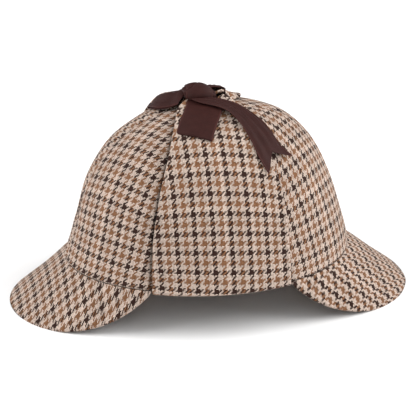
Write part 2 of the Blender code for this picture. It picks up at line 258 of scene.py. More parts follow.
def smooth(at, places, values):
    """A smooth curve through table rows, with the slopes of their neighbours."""
    slopes = np.gradient(values, places)
    row = np.clip(np.searchsorted(places, at) - 1, 0, len(places) - 2)
    span = places[row + 1] - places[row]
    share = (at - places[row]) / span
    rising = share * share * (3 - 2 * share)
    start = values[row] * (1 - rising) + span * slopes[row] * share * (1 - share) ** 2
    return start + values[row + 1] * rising + span * slopes[row + 1] * share * share * (share - 1)


def dome_fullness(elevation, front_share):
    """The dome's fullness at an angle above the rim; front_share is 1 in front, -1 behind."""
    rows = np.array(FULLNESS)
    mirrored = rows[-2].copy()
    mirrored[0] = 2 * rows[-1][0] - rows[-2][0]
    rows = np.vstack([rows, mirrored])
    front, side, back = (smooth(elevation, rows[:, 0], rows[:, column]) for column in (1, 2, 3))
    full = side + (front - side) * np.maximum(front_share, 0) ** 2
    return full + (back - side) * np.maximum(-front_share, 0) ** 2


def dome(direction):
    """An ellipsoid's point in a direction from the middle of the rim, made fuller by the table."""
    direction = direction / np.linalg.norm(direction, axis=-1, keepdims=True)
    level = np.maximum(np.hypot(direction[..., 0], direction[..., 1]), 1e-9)
    elevation = np.degrees(np.arctan2(direction[..., 2], level))
    full = dome_fullness(elevation, -direction[..., 1] / level)
    x, y, z = np.moveaxis(direction * full[..., None], -1, 0)
    rim_z = rim["height"] + rim["tilt"] * y + RIM_ARCH * y * y
    return np.stack([
        HALF_WIDTH * x * (1 + FRONT_TAPER * y),
        HALF_LENGTH * y - APEX_FORWARD * z,
        rim_z * (1 - z) + (rim["height"] + CROWN_HEIGHT) * z,
    ], axis=-1)


def turned(around, elevation):
    """Directions by the angle around from the front towards +X, and above the rim."""
    around, elevation = np.broadcast_arrays(np.radians(around), np.radians(elevation))
    level = np.cos(elevation)
    return np.stack([level * np.sin(around), -level * np.cos(around), np.sin(elevation)], axis=-1)


def laid(over, along):
    """Directions by the angle over the top from the +X side, and along towards the back."""
    over, along = np.broadcast_arrays(np.radians(over), np.radians(along))
    across = np.cos(along)
    return np.stack([across * np.cos(over), np.sin(along), across * np.sin(over)], axis=-1)


def outward(kind, first, second):
    """The dome's unit normal, from the cross product of its two small steps."""
    step = 0.05
    one = dome(kind(first + step, second)) - dome(kind(first - step, second))
    two = dome(kind(first, second + step)) - dome(kind(first, second - step))
    normal = np.cross(one, two)
    normal /= np.linalg.norm(normal, axis=-1, keepdims=True)
    inside = dome(kind(first, second)) - np.array([0.0, 0.0, rim["height"]])
    return normal * np.sign(np.sum(normal * inside, axis=-1, keepdims=True))


def over_crown(over, along, lift):
    """A point that lies a distance outside the dome."""
    return dome(laid(over, along)) + outward(laid, over, along) * np.asarray(lift)[..., None]


def rim_outward(around):
    """The level unit normal of the rim at angles around it."""
    step = 0.05
    run = dome(turned(around + step, 0.0)) - dome(turned(around - step, 0.0))
    normal = np.stack([-run[..., 1], run[..., 0], np.zeros_like(run[..., 0])], axis=-1)
    normal /= np.linalg.norm(normal, axis=-1, keepdims=True)
    return normal * np.sign(np.sum(normal * dome(turned(around, 0.0)), axis=-1, keepdims=True))


# Grids of points made into closed cloth

def steps(count):
    """Shares from 0 to 1 on a half turn of a cosine, so that they crowd at both ends."""
    return (1 - np.cos(np.linspace(0.0, np.pi, count + 1))) / 2


def run_length(points, axis):
    """The length along one axis of a grid, from its first row or column to each point."""
    pieces = np.linalg.norm(np.diff(points, axis=axis), axis=-1)
    start = np.zeros_like(np.take(pieces, [0], axis=axis))
    return np.concatenate([start, np.cumsum(pieces, axis=axis)], axis=axis)


def soft_waves(across, along, size, seed):
    """The unevenness of hand-pressed cloth: six sines in random directions, 30 to 80 mm long."""
    draw = np.random.default_rng(seed)
    total = np.zeros(np.broadcast(across, along).shape)
    for _ in range(6):
        heading, phase = draw.uniform(0.0, 2 * np.pi, 2)
        wave = 2 * np.pi / draw.uniform(0.030, 0.080)
        total += np.sin(wave * (across * np.cos(heading) + along * np.sin(heading)) + phase)
    return total * size / 6


def woven(name, grids, patterns, finish, nodes):
    """Join grids of points into one closed piece, with their cloth coordinates as a UV map.

    A third cloth coordinate, if there is one, is how light the cloth is painted there, as painted shade.
    """
    faces = []
    first = 0
    for grid in grids:
        rows, columns = grid.shape[:2]
        index = first + np.arange(rows * columns).reshape(rows, columns)
        quads = [index[:-1, :-1], index[:-1, 1:], index[1:, 1:], index[1:, :-1]]
        faces.append(np.stack(quads, axis=-1).reshape(-1, 4))
        first += rows * columns
    faces = np.concatenate(faces)
    points = np.concatenate([grid.reshape(-1, 3) for grid in grids])
    points = points + np.array([0.0, rim["middle"], 0.0])
    points[:, 2] = np.maximum(points[:, 2], 0.0)
    cloth_at = np.concatenate([pattern.reshape(-1, pattern.shape[-1]) for pattern in patterns])
    shade = cloth_at[:, 2] if cloth_at.shape[1] == 3 else np.ones(len(cloth_at))
    mesh = bpy.data.meshes.new(name)
    mesh.from_pydata(points.tolist(), [], faces.tolist())
    mesh.uv_layers.new(name="cloth").data.foreach_set("uv", cloth_at[faces.ravel(), :2].ravel())
    # The third coordinate is the painted shade, kept as the attribute shade
    mesh.attributes.new("shade", "FLOAT", "POINT").data.foreach_set("value", shade)
    work = bmesh.new()
    work.from_mesh(mesh)
    bmesh.ops.remove_doubles(work, verts=work.verts, dist=2e-6)
    bmesh.ops.dissolve_degenerate(work, edges=work.edges, dist=1e-7)
    bmesh.ops.recalc_face_normals(work, faces=work.faces)
    work.to_mesh(mesh)
    work.free()
    mesh.shade_smooth()
    mesh.materials.append(finish)
    piece = bpy.data.objects.new(name, mesh)
    bpy.context.collection.objects.link(piece)
    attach(piece, "root")
    if nodes:
        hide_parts(*nodes)
    return piece


def cloth(name, surface, facing, thick, pattern, finish, slot, *nodes):
    """A sheet of cloth under a surface of points, its edges rounded off as a half circle."""
    side, end = run_length(surface, 1), run_length(surface, 0)
    side = np.minimum(side, side[:, -1:] - side)
    end = np.minimum(end, end[-1:] - end)
    near = np.clip(np.minimum(side, end) / (0.6 * thick), 0.0, 1.0)
    half = facing * (thick / 2 * np.sqrt(1 - (1 - near) ** 2))[..., None]
    middle = surface - facing * thick / 2
    return woven(name, [middle + half, middle - half], [pattern, pattern], finish, nodes)


def shift_from(pattern, across, along):
    """Cloth coordinates moved by whole and part threads."""
    return pattern + np.array([across * WARP_THREAD, along * WEFT_THREAD])


# Crown

def seam_angles():
    """The six seams of the crown: two at the middle, four at the corners of the peaks."""
    front, back = FRONT_PEAK["span"], 180.0 - BACK_PEAK["span"]
    return np.array([0.0, front, back, 180.0, 360.0 - back, 360.0 - front, 360.0])


def fold_shade(direction):
    """How light the crown is painted beside the front fold of an ear flap: painted shade where the raised
    fold's shadow falls.

    It falls as a bell curve of the distance in front of the fold, and fades out at its tip.
    """
    over = np.degrees(np.arctan2(direction[..., 2], np.abs(direction[..., 0])))
    along = np.degrees(np.arcsin(np.clip(direction[..., 1], -1.0, 1.0)))
    front, back = flap_edges(over / FLAP_REACH)
    gap = np.radians(front - along) * HALF_LENGTH
    fade = np.clip((FLAP_REACH - over) / FOLD_FADE, 0.0, 1.0)
    return 1 - FOLD_SHADE * fade * np.exp(-((gap - FOLD_GAP) / FOLD_WIDTH) ** 2)


def crown_panel(name, start, end, shift, seed, finish):
    """A gore of the dome between two seams, with the cloth's grain along its middle.

    The cloth coordinates are the gore's own: the distance across from its middle
    on a great circle square to it, and the length along the middle to that circle.
    """
    around = start + (end - start) * steps(PANEL_STEPS[0])[None, :]
    elevation = 90.0 * steps(PANEL_STEPS[1])[:, None]
    surface = dome(turned(around, elevation))
    normal = outward(turned, around + 0 * elevation, np.minimum(elevation, 89.5) + 0 * around)
    normal[-1] = UP
    side, height = run_length(surface, 1), run_length(surface, 0)
    middle = side.shape[1] // 2
    turn = np.radians(around - (start + end) / 2)
    polar = np.radians(90.0 - elevation)
    safe_polar = np.maximum(polar, 1e-3)
    straighter = np.arcsin(np.sin(safe_polar) * np.sin(turn)) / (np.sin(safe_polar) * turn + 1e-9)
    straighter = np.where(np.abs(turn) < 1e-4, 1.0, straighter)
    across = (side - side[:, middle:middle + 1]) * straighter
    foot = 90.0 - np.degrees(np.arctan2(np.sin(safe_polar) * np.cos(turn), np.cos(safe_polar)))
    along = np.interp(foot, elevation[:, 0], height[:, middle])
    # The seams pull in, the hem has a sewn ditch, and the cloth between is uneven
    seam = np.minimum(side, side[:, -1:] - side)
    sink = SEAM_DEPTH * np.exp(-(seam / SEAM_WIDTH) ** 2)
    sink += DITCH_DEPTH * np.exp(-((height - DITCH_HEIGHT) / DITCH_WIDTH) ** 2)
    calm = np.clip(seam / CROWN_CALM, 0.0, 1.0) * np.clip(height / CROWN_CALM, 0.0, 1.0)
    sink += soft_waves(across, along, CROWN_WAVES, seed) * calm
    surface = surface - normal * sink[..., None]
    pattern = shift_from(np.stack([across, along], axis=-1), *shift)
    # The painted shade of the raised fold goes in as a third cloth coordinate
    pattern = np.concatenate([pattern, fold_shade(turned(around, elevation))[..., None]], axis=-1)
    return cloth(name, surface, normal, CROWN_WALL, pattern, finish, "tweed_crown", "crown")


# Peaks

def peak_surface(sizes, facing, across_count, out_count):
    """The upper side of a peak: rows out from the rim, each point down its own slope."""
    corner_gap = np.degrees(CLEARANCE / HALF_WIDTH)
    share = (2 * steps(across_count) - 1)[None, :]
    out = steps(out_count)[:, None]
    around = facing + share * (sizes["span"] - corner_gap) + 0 * out
    slope = np.radians(sizes["slope"] + sizes["curl"] * share ** 2) + 0 * out
    width = sizes["width"] * np.cos(share * np.pi / 2 * 0.999) ** sizes["taper"] + 0 * out
    normal = rim_outward(around)
    seam = dome(turned(around, 0.0)) - UP * CLEARANCE
    down_slope = normal * np.cos(slope)[..., None] - UP * np.sin(slope)[..., None]
    facing_up = normal * np.sin(slope)[..., None] + UP * np.cos(slope)[..., None]
    surface = seam + down_slope * (width * out)[..., None]
    return surface, facing_up, normal


def settle():
    """Set the rim so that both peaks rest on the floor, and the middle of the hat's length."""
    peaks = ((FRONT_PEAK, 0.0), (BACK_PEAK, 180.0))
    for _ in range(SETTLE_ROUNDS):
        front, back = (peak_surface(sizes, facing, *SETTLE_STEPS)[0] for sizes, facing in peaks)
        front_low, back_low = front[..., 2].min() + PRESSED_FLAT, back[..., 2].min() + PRESSED_FLAT
        rim["height"] -= (front_low + back_low) / 2
        rim["tilt"] += (front_low - back_low) / 2
    rim["middle"] = -(front[..., 1].min() + back[..., 1].max()) / 2


def peak(name, sizes, facing, shift, seed, finish):
    """A stiffened peak. Its grain runs front to back, square to the middle of its edge.

    The cloth coordinates are the distance sideways and down from the peak's middle
    line, and the length of that line from the rim.
    """
    surface, facing_up, normal = peak_surface(sizes, facing, *PEAK_STEPS)
    slope = np.radians(sizes["slope"])
    middle = surface.shape[1] // 2
    outwards = np.abs(surface[..., 1]) - np.abs(surface[0, middle, 1])
    middle_z = surface[0, middle, 2] - outwards * np.tan(slope)
    across = np.sign(surface[..., 0]) * np.hypot(surface[..., 0], surface[..., 2] - middle_z)
    along = outwards / np.cos(slope)
    if facing:
        along = -along
    edge = run_length(surface, 0)
    waves = soft_waves(across, along, PEAK_WAVES, seed) * np.clip(edge / PEAK_CALM, 0.0, 1.0)
    surface = surface - facing_up * waves[..., None]
    pattern = shift_from(np.stack([across, along], axis=-1), *shift)
    # One more row tucks the peak under the crown's wall
    surface = np.concatenate([surface[:1] - normal[:1] * CROWN_WALL, surface])
    facing_up = np.concatenate([UP + 0 * facing_up[:1], facing_up])
    pattern = np.concatenate([pattern[:1], pattern])
    return cloth(name, surface, facing_up, PEAK_THICKNESS, pattern, finish, "tweed_" + name, name)


# Ear flaps

def flap_lift(along):
    """How far the inside of an ear flap lies off the crown, by the share of its reach."""
    rows = np.array(FLAP_SECTIONS)
    return FLAP_LIFT * smooth(np.clip(along, 0.0, 1.0), rows[:, 0], rows[:, 3])


def flap_top(over):
    """How far the outside of an ear flap lies off the crown, by the angle over the dome."""
    return flap_lift(np.asarray(over) / FLAP_REACH) + FLAP_THICKNESS


def flap_corners():
    """How far towards the front and the back an ear flap reaches at the rim, in degrees along."""
    corner_gap = np.degrees(CLEARANCE / HALF_WIDTH)
    return 90.0 - FRONT_PEAK["span"] - corner_gap, 90.0 - BACK_PEAK["span"] - corner_gap


def flap_edges(along):
    """The front and back edges of an ear flap, in degrees along, by the share of its reach."""
    rows = np.array(FLAP_SECTIONS)
    along = np.clip(along, 0.0, 1.0)
    front_corner, back_corner = flap_corners()
    front = -front_corner * smooth(along, rows[:, 0], rows[:, 1])
    return front, back_corner * smooth(along, rows[:, 0], rows[:, 2])


def under_ribbon(over, along):
    """How far off the crown the surface under a ribbon lies: the ear flap's outside, or the crown's."""
    front, back = flap_edges(np.asarray(over) / FLAP_REACH)
    beyond = np.maximum(front - along, along - back)
    sunk = np.clip((beyond - DRAPE_START) / (DRAPE_END - DRAPE_START), 0.0, 1.0)
    return flap_top(over) * (1 - sunk * sunk * (3 - 2 * sunk))


def ear_flap(name, side, shift, seed, finish):
    """An ear flap folded up over the crown, from under the rim, round a fold, to its tip.

    Its grain runs up its middle line. The cloth coordinates are the distance from
    that line, on a great circle square to it, and the length of the line. Its two edges
    stand off as sixth powers of the share across. Its tip rises as a cube of the share
    along, times a bell curve across, and its very back edge sinks.
    """
    front_corner, back_corner = flap_corners()
    share = steps(FLAP_STEPS)[None, :]
    # Even rows, and then rows that crowd at the tip
    even = np.linspace(0.0, 0.9, 46)[1:]
    crowded = 1.0 - 0.2 * steps(36)[18::-1]
    along = np.unique(np.clip(np.concatenate([even, crowded]), 0.0, 1.0))[:, None]
    front, back = flap_edges(along)
    over = along * FLAP_REACH + 0 * share
    across = front + (back - front) * share
    # The front edge stands off the crown, and the tip's back corner is pushed up by the tie
    rise = np.clip((along - 0.04) / 0.2, 0.0, 1.0)
    edge = EDGE_LIFT * ((1 - share) ** 6 + BACK_EDGE_SHARE * share ** 6) * rise
    top = np.clip((along - TIP_START) / (1 - TIP_START), 0.0, 1.0)
    tip = TIP_LIFT * top ** 3 * np.exp(-((share - TIP_PLACE) / TIP_WIDTH) ** 2) * (1 - share ** 8)
    tip -= TIP_SINK * top ** 2 * share ** 8
    width = np.radians(across) * HALF_LENGTH
    length = np.radians(over) * HALF_WIDTH
    calm = np.clip(along / 0.15, 0.0, 1.0) * np.clip((1 - along) / 0.1, 0.0, 1.0)
    waves = soft_waves(width, length, FLAP_WAVES, seed) * calm
    surface = over_crown(over, across, flap_lift(along) + FLAP_THICKNESS + edge + tip + waves)
    facing = outward(laid, over, across)
    # The fold turns a quarter round the edge of the rim, from the seam allowance
    around = 90.0 + (-front_corner + (front_corner + back_corner) * share[0])
    hem = dome(turned(around, 0.0))
    normal = rim_outward(around)
    pivot = flap_lift(0.0) - FLAP_FOLD_RADIUS
    folded = [hem - normal * CROWN_WALL - UP * (FLAP_FOLD_RADIUS + FLAP_THICKNESS)]
    fold_facing = [-UP + 0 * normal]
    for turn in np.linspace(-np.pi / 2, 0.0, 7):
        spoke = normal * np.cos(turn) + UP * np.sin(turn)
        folded.append(hem + normal * pivot + spoke * (FLAP_FOLD_RADIUS + FLAP_THICKNESS))
        fold_facing.append(spoke)
    surface = np.concatenate([np.array(folded), surface])
    facing = np.concatenate([np.array(fold_facing), facing])
    sideways = run_length(surface, 1)
    zero = front_corner / (front_corner + back_corner)
    zero = np.concatenate([np.full(len(folded), zero), (-front / (back - front))[:, 0]])
    middle = np.array([np.interp(at, share[0], row) for at, row in zip(zero, sideways)])
    column = int(np.argmin(np.abs(share[0] - zero[0])))
    upward = run_length(surface, 0)[:, column:column + 1] + 0 * sideways
    sideways = side * (sideways - middle[:, None])
    pattern = np.stack([sideways, upward + side * FLAP_SKEW * sideways], axis=-1)
    for grid in (surface, facing):
        grid[..., 0] *= side
    return cloth(name, surface, facing, FLAP_THICKNESS, shift_from(pattern, *shift), finish,
                 "tweed_" + name, name)


# Ribbon bow

def knot_faces():
    """Where runs of ribbon leave the knot, as over and along: its side, its front end and its back end."""
    half_depth = np.degrees(KNOT_DEPTH / 2 / HALF_WIDTH)
    half_length = np.degrees(KNOT_LENGTH / 2 / HALF_LENGTH)
    middle = -np.degrees(KNOT_FORWARD / HALF_LENGTH)
    return (90.0 - half_depth, middle), (90.0, middle - half_length), (90.0, middle + half_length)


def route(rows, start):
    """A run of ribbon: its length on the dome, and smooth curves of over, along and lift by length."""
    rows = np.array(rows) * (-1, 1, 1) + (*start, 0.0)
    # The run begins inside the knot, so that no end of it shows
    inside = rows[0] - (rows[1] - rows[0]) * 0.9
    inside[2] = rows[0][2]
    rows = np.vstack([inside, rows])
    knots = dome(laid(rows[:, 0], rows[:, 1]))
    lengths = np.append(0.0, np.cumsum(np.linalg.norm(np.diff(knots, axis=0), axis=-1)))

    def at(length, column):
        return smooth(length, lengths, rows[:, column])

    return lengths[-1], at


def dot(one, two):
    """The dot product of two grids of vectors."""
    return np.sum(one * two, axis=-1)


def ribbon_point(at, length, across, height):
    """A point of a ribbon by length along it, distance across it, and height over what it lies on.

    The step across is square to the ribbon's run. It is turned into angles on the dome by
    the two tangents there, so that the ribbon follows the dome across its width too.
    """
    step = 0.05
    over, along = at(length, 0), at(length, 1)
    ahead = dome(laid(at(length + 1e-4, 0), at(length + 1e-4, 1)))
    behind = dome(laid(at(length - 1e-4, 0), at(length - 1e-4, 1)))
    side = np.cross(outward(laid, over, along), ahead - behind)
    side /= np.linalg.norm(side, axis=-1, keepdims=True)
    per_over = (dome(laid(over + step, along)) - dome(laid(over - step, along))) / (2 * step)
    per_along = (dome(laid(over, along + step)) - dome(laid(over, along - step))) / (2 * step)
    over_square, along_square = dot(per_over, per_over), dot(per_along, per_along)
    shared = dot(per_over, per_along)
    area = over_square * along_square - shared ** 2
    turn_over = (dot(side, per_over) * along_square - dot(side, per_along) * shared) / area
    turn_along = (dot(side, per_along) * over_square - dot(side, per_over) * shared) / area
    over = over + across * turn_over
    along = along + across * turn_along
    lift = under_ribbon(over, along) + CLEARANCE + KNOT_HEIGHT * np.maximum(at(length, 2), 0.0) + height
    return over_crown(over, along, lift)


def grid_normals(points):
    """The unit normals of a grid of points, square to its two directions."""
    normal = np.cross(np.gradient(points, axis=0), np.gradient(points, axis=1))
    return normal / np.maximum(np.linalg.norm(normal, axis=-1, keepdims=True), 1e-12)


def ribbon_tail(name, rows, start, side, curl, finish):
    """A free end: gathered at the knot, then flat, with a swallow-tail cut and two curled tips.

    The notch takes most off its length in the middle and none at the edges. Its half width
    starts at a point and grows evenly with the length. Its height adds waves across for
    the gathers, one slow wave along, and each tip's lift as a square of the way out.
    """
    total, at = route(rows, start)
    across = (2 * steps(TAIL_STEPS[0]) - 1)[None, :]
    share = steps(TAIL_STEPS[1])[:, None]
    length = share * (total - RIBBON_NOTCH * (1 - np.abs(across)))
    flat = length / total
    half_width = RIBBON_WIDTH / 2 * (RIBBON_GATHER + (1 - RIBBON_GATHER) * flat)
    half_width = half_width * np.sqrt(np.clip(share / TAIL_POINT, 0.02, 1.0))
    # Gathers run along the ribbon by the knot, and its two tips lift by different amounts
    gathers = TAIL_GATHERS * flat * (1 - flat) * 4 * np.cos(across * 3.2 * np.pi + 0.6)
    tip = np.clip((share - TAIL_CURL_START) / (1 - TAIL_CURL_START), 0.0, 1.0) ** 2
    lifted = tip * (curl[0] * np.clip(-across, 0, 1) ** 2 + curl[1] * np.clip(across, 0, 1) ** 2)
    sway = TAIL_SWAY * np.sin(flat * 7.0 + across) * np.clip(share * 4, 0, 1)
    height = RIBBON_THICKNESS + TAIL_STAND + gathers + lifted + sway
    surface = ribbon_point(at, length, across * half_width, height)
    # The first few rows run on into the knot
    surface[..., 0] -= TUCK * np.clip(1 - share / TUCK_SHARE, 0, 1) ** 2
    facing = grid_normals(surface)
    inward = np.sum(facing * (surface - np.array([0.0, 0.0, rim["height"]])), axis=-1, keepdims=True)
    facing *= np.sign(inward)
    pattern = np.stack([across * RIBBON_WIDTH / 2 + 0 * length, length], axis=-1)
    for grid in (surface, facing):
        grid[..., 0] *= side
    return cloth(name, surface, facing, RIBBON_THICKNESS, pattern, finish, "ribbon", name)


def ribbon_loop(name, rows, start, side, finish):
    """A flattened loop: a hairpin profile of length and height, carried across the ribbon's width.

    The profile runs out, round a half circle and back. Its two layers part as a quarter of a
    sine wave, and both bow down to the edges as a square of the distance across.
    """
    total, at = route(rows, start)
    radius = (LOOP_OPENING + RIBBON_THICKNESS) / 2
    straight = (total - radius) * np.linspace(0.0, 1.0, LOOP_STEPS[1])
    bend = np.linspace(np.pi / 2, -np.pi / 2, LOOP_BEND_STEPS)[1:-1]
    lengths = np.concatenate([straight, straight[-1] + radius * np.cos(bend), straight[::-1]])
    # The two layers lie together by the knot and part towards the fold
    part = LOOP_PINCH + (1 - LOOP_PINCH) * np.sin(np.minimum(straight / total, 1.0) * np.pi / 2)
    heights = radius + RIBBON_THICKNESS + np.concatenate([
        radius * part, radius * np.sin(bend), -radius * part[::-1]])
    across = (2 * steps(LOOP_STEPS[0]) - 1)[None, :] * RIBBON_WIDTH / 2
    lengths, across = np.broadcast_arrays(lengths[:, None], across)
    bow = LOOP_BOW * (across / RIBBON_WIDTH * 2) ** 2 * np.clip(lengths / total, 0, 1)
    surface = ribbon_point(at, lengths, across, heights[:, None] - bow)
    facing = grid_normals(surface)
    pattern = np.stack([across, run_length(surface, 0)[:, :1] + 0 * across], axis=-1)
    for grid in (surface, facing):
        grid[..., 0] *= side
    return cloth(name, surface, facing, RIBBON_THICKNESS, pattern, finish, "ribbon", name)


def soften(value):
    """A sine or cosine made fuller by the power 0.7, its sign kept, for a squared-off round."""
    return np.sign(value) * np.abs(value) ** 0.7


def knot_point(around, place, rise):
    """A point of the rounded pad: around its long axis, along it from -1 to 1, and proud of it.

    Its section is a squared-off ellipse that narrows to both ends, and it gets lower to the back.
    """
    full = 1 - 0.35 * np.abs(place) ** 3
    side, front, back = knot_faces()
    over = 90.0 + soften(np.cos(around)) * full * (90.0 - side[0]) * (1 + 2 * rise / KNOT_DEPTH)
    along = side[1] + place * (back[1] - front[1]) / 2 + 0 * around
    height = (1 + soften(np.sin(around)) * full) / 2 * KNOT_HEIGHT
    height = height * (1 - KNOT_SLOPE * np.maximum(place, 0.0) ** 1.5)
    base = flap_top(FLAP_REACH) + CLEARANCE
    return over_crown(over, along, base + height + rise * soften(np.sin(around)))


def ribbon_knot(finish):
    """The knot: a pad with gathers along it, closed at both ends, under a wrapped band.

    The band runs from a lip on the near side over the top to the far side. Its lip flares
    off the pad by a power of the angle, and a crease crosses it as a bell curve.
    """
    around = np.linspace(0.0, 2 * np.pi, KNOT_STEPS[0])[None, :]
    place = np.sin(np.linspace(-np.pi / 2, np.pi / 2, KNOT_STEPS[1]))[:, None]
    gathers = -KNOT_GATHERS * np.abs(np.sin(around * 3.0 + 0.8 * place + 0.4)) ** 3
    rings = knot_point(around, place, gathers + 0 * place)
    rings[:, -1] = rings[:, 0]
    centres = np.repeat(rings[:, :-1].mean(axis=1, keepdims=True), rings.shape[1], axis=1)
    grid = np.concatenate([centres[:1], rings, centres[-1:]])
    place = np.concatenate([place[:1], place, place[-1:]])
    pattern = [place * KNOT_LENGTH / 2 + 0 * around, around * KNOT_DEPTH / 2 + 0 * place]
    pattern = np.stack(pattern, axis=-1)
    woven("ribbon_knot", [grid], [pattern], finish, ["ribbon_knot"])
    # The band that binds the knot runs over its top, a little aslant
    share = (2 * steps(BAND_STEPS[0]) - 1)[None, :]
    corner = np.clip((-0.05 - share) / 0.5, 0.0, 1.0)
    heel = np.clip((share - 0.2) / 0.8, 0.0, 1.0)
    lip = np.radians(LIP["middle"] - LIP["corner"] * corner - LIP["heel"] * heel)
    turn = lip + (np.radians(BAND_END) - lip) * steps(BAND_STEPS[1])[:, None]
    aslant = BAND_ASLANT * np.cos(turn)
    crease = BAND_CREASE * np.exp(-((share + 0.55 - 0.9 * np.cos(turn)) / 0.10) ** 2)
    flare = np.clip((np.radians(FLARE_START) - turn) / np.radians(FLARE_REACH), 0.0, 1.0) ** 2.5
    flare *= FLARE["middle"] + FLARE["corner"] * corner + FLARE["heel"] * heel
    rise = BAND_RISE - BAND_ROUND * np.abs(share) ** 4 - crease + flare
    band = knot_point(turn, aslant + BAND_SPREAD * share, rise)
    facing = grid_normals(band)
    centre = band.mean(axis=(0, 1)) - UP * KNOT_HEIGHT / 2
    facing *= np.sign(np.sum(facing * (band - centre), axis=-1, keepdims=True))
    pattern = np.stack([share * RIBBON_WIDTH / 2 + 0 * turn, turn * KNOT_DEPTH / 2 + 0 * share], axis=-1)
    cloth("ribbon_band", band, facing, RIBBON_THICKNESS, pattern, finish, "ribbon")


# Finishes

def add(tree, kind, inputs=(), **settings):
    """A node with its settings; each input is a value, another node's socket, or None."""
    made = tree.nodes.new("ShaderNode" + kind)
    for key, value in settings.items():
        setattr(made, key, value)
    for socket, value in zip(made.inputs, inputs):
        if isinstance(value, bpy.types.NodeSocket):
            tree.links.new(value, socket)
        elif value is not None:
            socket.default_value = value
    return made


def maths(tree, operation, *inputs):
    """One step of arithmetic."""
    return add(tree, "Math", inputs, operation=operation).outputs[0]


def blend(tree, share, one, two):
    """A colour between two others."""
    inputs = (share, None, None, None, None, None, one, two)
    return add(tree, "Mix", inputs, data_type="RGBA").outputs[2]


def new_group(name, inputs):
    """An empty effect with float inputs, and a colour and a height as outputs."""
    tree = bpy.data.node_groups.new(name, "ShaderNodeTree")
    for label, value in inputs.items():
        made = tree.interface.new_socket(label, in_out="INPUT", socket_type="NodeSocketFloat")
        made.default_value = value
    tree.interface.new_socket("Color", in_out="OUTPUT", socket_type="NodeSocketColor")
    tree.interface.new_socket("Height", in_out="OUTPUT", socket_type="NodeSocketFloat")
    return tree, tree.nodes.new("NodeGroupInput"), tree.nodes.new("NodeGroupOutput")


